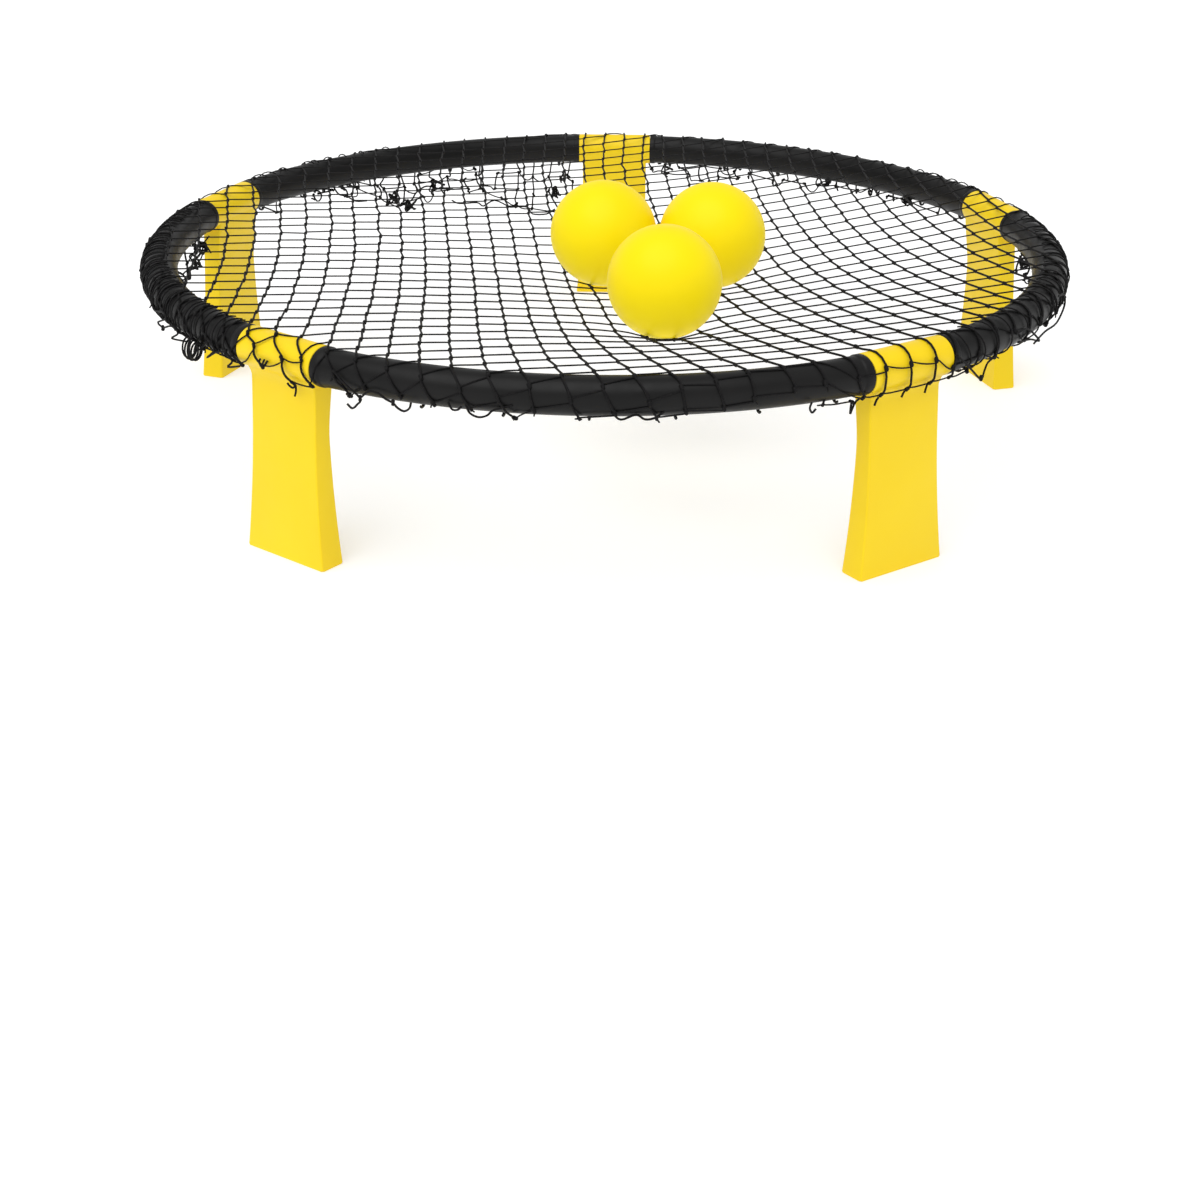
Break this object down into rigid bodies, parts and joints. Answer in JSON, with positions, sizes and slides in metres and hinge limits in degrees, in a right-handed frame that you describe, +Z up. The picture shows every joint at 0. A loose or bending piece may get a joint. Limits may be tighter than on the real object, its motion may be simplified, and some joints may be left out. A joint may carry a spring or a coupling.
{
  "type": "roundnet set",
  "caption": "Lawn game target: a low ring of black tube sections on yellow folding legs, a knotted net stretched over it, and inflated balls resting in the net.",
  "frame": {"origin": "on the ground plane at the axis of the ring", "axes": "+Z up along the ring's axis; +Y towards the rear leg; -Y towards the side the set is seen from in the picture; +X to the right of that view"},
  "size_m": [0.9218, 0.9218, 0.2693],
  "materials": {
    "rim_plastic": "satin black moulded plastic",
    "leg_plastic": "satin yellow moulded plastic",
    "plug_rubber": "matt black rubber",
    "net_cord": "black braided nylon cord, knotted",
    "ball_rubber": "smooth satin yellow rubber",
    "valve_rubber": "darker yellow rubber plug"
  },
  "bodies": {
    "frame": {"rim_rear_left": "rim_plastic", "rim_left": "rim_plastic", "rim_front": "rim_plastic", "rim_right": "rim_plastic", "rim_rear_right": "rim_plastic", "net": "net_cord"},
    "leg_rear_body": {"leg_rear": "leg_plastic", "foot_plug_rear": "plug_rubber"},
    "leg_left_body": {"leg_left": "leg_plastic", "foot_plug_left": "plug_rubber"},
    "leg_front_left_body": {"leg_front_left": "leg_plastic", "foot_plug_front_left": "plug_rubber"},
    "leg_front_right_body": {"leg_front_right": "leg_plastic", "foot_plug_front_right": "plug_rubber"},
    "leg_right_body": {"leg_right": "leg_plastic", "foot_plug_right": "plug_rubber"},
    "ball_left_body": {"ball_left": "ball_rubber", "ball_valve_left": "valve_rubber"},
    "ball_right_body": {"ball_right": "ball_rubber", "ball_valve_right": "valve_rubber"},
    "ball_front_body": {"ball_front": "ball_rubber", "ball_valve_front": "valve_rubber"}
  },
  "joints": [
    {"name": "leg_fold_rear", "type": "hinge", "parent": "frame", "child": "leg_rear_body", "pos_m": [0, 0.43784, 0.182], "axis": [-1, 0, 0], "range_deg": [0, 80]},
    {"name": "leg_fold_left", "type": "hinge", "parent": "frame", "child": "leg_left_body", "pos_m": [-0.41641, 0.1353, 0.182], "axis": [-0.309, -0.9511, 0], "range_deg": [0, 80]},
    {"name": "leg_fold_front_left", "type": "hinge", "parent": "frame", "child": "leg_front_left_body", "pos_m": [-0.25736, -0.35422, 0.182], "axis": [0.809, -0.5878, 0], "range_deg": [0, 80]},
    {"name": "leg_fold_front_right", "type": "hinge", "parent": "frame", "child": "leg_front_right_body", "pos_m": [0.25736, -0.35422, 0.182], "axis": [0.809, 0.5878, 0], "range_deg": [0, 80]},
    {"name": "leg_fold_right", "type": "hinge", "parent": "frame", "child": "leg_right_body", "pos_m": [0.41641, 0.1353, 0.182], "axis": [-0.309, 0.9511, 0], "range_deg": [0, 80]},
    {"name": "ball_lift_left", "type": "slide", "parent": "frame", "child": "ball_left_body", "axis": [0, 0, 1], "range_m": [0, 0.3]},
    {"name": "ball_lift_right", "type": "slide", "parent": "frame", "child": "ball_right_body", "axis": [0, 0, 1], "range_m": [0, 0.3]},
    {"name": "ball_lift_front", "type": "slide", "parent": "frame", "child": "ball_front_body", "axis": [0, 0, 1], "range_m": [0, 0.3]}
  ]
}
